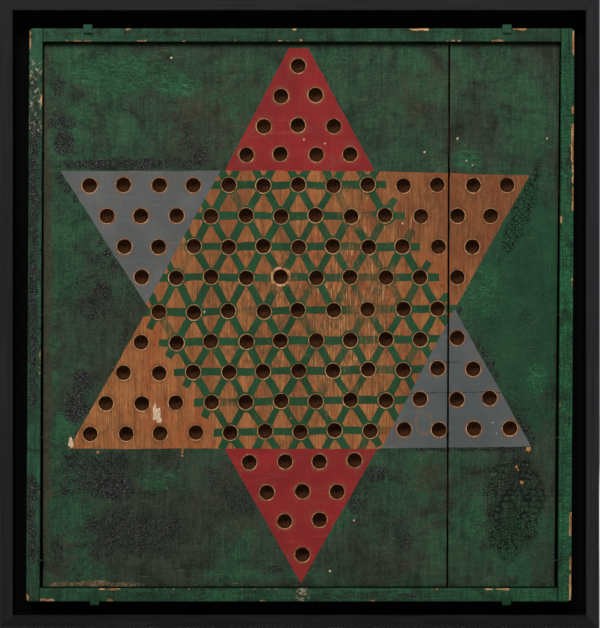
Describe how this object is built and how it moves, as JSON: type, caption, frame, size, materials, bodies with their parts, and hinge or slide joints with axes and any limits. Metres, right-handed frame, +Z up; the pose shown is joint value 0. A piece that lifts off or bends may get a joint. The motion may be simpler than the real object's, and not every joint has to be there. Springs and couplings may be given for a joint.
{
  "type": "chinese checkers board",
  "caption": "Square six-pointed-star marble board of old painted planks with nailed edge strips, clipped into a deep black wall frame with swinging hanger rings.",
  "frame": {"origin": "middle of the black frame's back plane, where it meets the wall", "axes": "+Z up the wall, +X to the viewer's right, +Y into the wall, so the playing face looks along -Y"},
  "size_m": [0.544, 0.06, 0.5728],
  "materials": {
    "panel_wood": "old varnished softwood planks, hand painted dark green, red, slate blue and bare wood, cracked and worn",
    "strip_wood": "softwood strips painted green, worn to bare wood on the arrises",
    "raw_wood": "bare aged softwood",
    "frame_wood": "satin black stained hardwood",
    "strainer_wood": "bare pine",
    "backing_board": "black faced board, matt",
    "nail_steel": "dull wire-nail steel",
    "screw_steel": "zinc plated, satin",
    "black_screw": "black oxide",
    "clip_brass": "brass strip painted green to match the board",
    "lining_rubber": "thin soft rubber",
    "hanger_steel": "nickel plated steel",
    "bumper_rubber": "soft black rubber"
  },
  "bodies": {
    "board_and_frame": {"wide_plank": "panel_wood", "narrow_plank": "panel_wood", "left_edge_strip": "strip_wood", "right_edge_strip": "strip_wood", "top_edge_strip": "strip_wood", "bottom_edge_strip": "strip_wood", "upper_cleat": "raw_wood", "lower_cleat": "raw_wood", "edge_strip_nails": "nail_steel", "cleat_screws": "screw_steel", "top_frame_rail": "frame_wood", "bottom_frame_rail": "frame_wood", "left_frame_rail": "frame_wood", "right_frame_rail": "frame_wood", "corner_v_nails": "nail_steel", "left_strainer_bar": "strainer_wood", "right_strainer_bar": "strainer_wood", "top_strainer_bar": "strainer_wood", "bottom_strainer_bar": "strainer_wood", "strainer_screws": "screw_steel", "backing_panel": "backing_board", "backing_screws": "black_screw", "top_left_clip": "clip_brass", "top_right_clip": "clip_brass", "bottom_left_clip": "clip_brass", "bottom_right_clip": "clip_brass", "clip_screws": "screw_steel", "clip_linings": "lining_rubber", "left_hanger_strap": "hanger_steel", "right_hanger_strap": "hanger_steel", "hanger_screws": "screw_steel", "left_wall_bumper": "bumper_rubber", "right_wall_bumper": "bumper_rubber"},
    "left_ring": {"left_hanger_ring": "hanger_steel"},
    "right_ring": {"right_hanger_ring": "hanger_steel"}
  },
  "joints": [
    {"name": "left_ring_swing", "type": "hinge", "parent": "board_and_frame", "child": "left_ring", "pos_m": [-0.246, -0.0001, 0.15], "axis": [1, 0, 0], "range_deg": [0, 178]},
    {"name": "right_ring_swing", "type": "hinge", "parent": "board_and_frame", "child": "right_ring", "pos_m": [0.246, -0.0001, 0.15], "axis": [1, 0, 0], "range_deg": [0, 178]}
  ]
}
